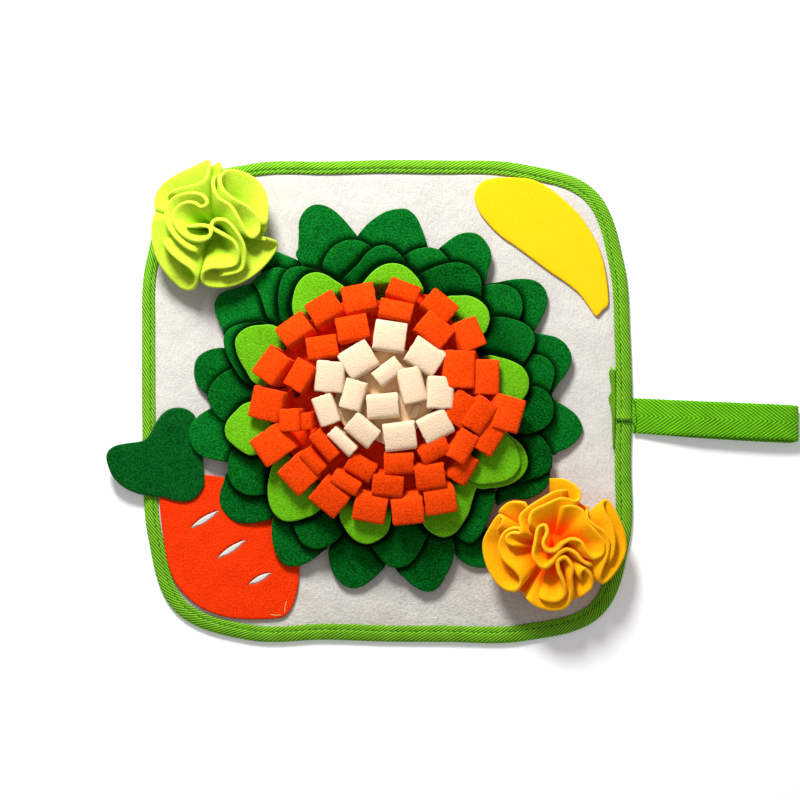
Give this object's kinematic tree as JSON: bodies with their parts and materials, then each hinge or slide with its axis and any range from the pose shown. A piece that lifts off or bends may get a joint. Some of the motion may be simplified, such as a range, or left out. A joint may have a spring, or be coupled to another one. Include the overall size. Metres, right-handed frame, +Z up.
{
  "type": "snuffle mat",
  "caption": "Felt snuffle mat for a pet: bound off-white felt with a layered loop flower, fleece rosettes, carrot and banana patches and a hanging loop.",
  "frame": {"origin": "middle of the bound mat on its underside, the plane that lies on the floor", "axes": "+X towards the hanging loop, +Y towards the lime rosette and the banana patch, +Z up out of the floor"},
  "size_m": [0.4977, 0.348, 0.0395],
  "materials": {
    "off_white_felt": "soft off-white needle felt",
    "green_binding": "woven twill tape, folded and sewn",
    "green_tape_end": "raw cut end of the woven tape",
    "green_loop_tape": "herringbone woven tape",
    "orange_patch": "felt",
    "green_patch": "felt",
    "yellow_patch": "felt",
    "deep_green_leaf": "felt",
    "dark_green_leaf": "felt",
    "light_green_leaf": "felt",
    "orange_loop": "felt",
    "cream_loop": "felt",
    "lime_fleece": "brushed fleece",
    "amber_fleece": "brushed fleece"
  },
  "bodies": {
    "root": {"mat_felt": "off_white_felt", "edge_binding": "green_binding", "binding_end": "green_tape_end", "hanging_loop": "green_loop_tape", "carrot_patch": "orange_patch", "carrot_top": "green_patch", "banana_patch": "yellow_patch", "leaf_ring_outer": "deep_green_leaf", "leaf_ring_middle": "dark_green_leaf", "leaf_ring_light": "light_green_leaf", "orange_loop_outer_01": "orange_loop", "orange_loop_outer_02": "orange_loop", "orange_loop_outer_03": "orange_loop", "orange_loop_outer_04": "orange_loop", "orange_loop_outer_05": "orange_loop", "orange_loop_outer_06": "orange_loop", "orange_loop_outer_07": "orange_loop", "orange_loop_outer_08": "orange_loop", "orange_loop_outer_09": "orange_loop", "orange_loop_outer_10": "orange_loop", "orange_loop_outer_11": "orange_loop", "orange_loop_outer_12": "orange_loop", "orange_loop_outer_13": "orange_loop", "orange_loop_outer_14": "orange_loop", "orange_loop_outer_15": "orange_loop", "orange_loop_outer_16": "orange_loop", "orange_loop_outer_17": "orange_loop", "orange_loop_outer_18": "orange_loop", "orange_loop_inner_01": "orange_loop", "orange_loop_inner_02": "orange_loop", "orange_loop_inner_03": "orange_loop", "orange_loop_inner_04": "orange_loop", "orange_loop_inner_05": "orange_loop", "orange_loop_inner_06": "orange_loop", "orange_loop_inner_07": "orange_loop", "orange_loop_inner_08": "orange_loop", "orange_loop_inner_09": "orange_loop", "orange_loop_inner_10": "orange_loop", "orange_loop_inner_11": "orange_loop", "orange_loop_inner_12": "orange_loop", "orange_loop_inner_13": "orange_loop", "orange_loop_inner_14": "orange_loop", "orange_loop_inner_15": "orange_loop", "orange_loop_inner_16": "orange_loop", "orange_loop_inner_17": "orange_loop", "orange_loop_inner_18": "orange_loop", "orange_loop_inner_19": "orange_loop", "cream_loop_01": "cream_loop", "cream_loop_02": "cream_loop", "cream_loop_03": "cream_loop", "cream_loop_04": "cream_loop", "cream_loop_05": "cream_loop", "cream_loop_06": "cream_loop", "cream_loop_07": "cream_loop", "cream_loop_08": "cream_loop", "cream_loop_09": "cream_loop", "cream_loop_10": "cream_loop", "cream_heart": "cream_loop", "lime_rosette": "lime_fleece", "amber_rosette": "amber_fleece"}
  },
  "joints": []
}
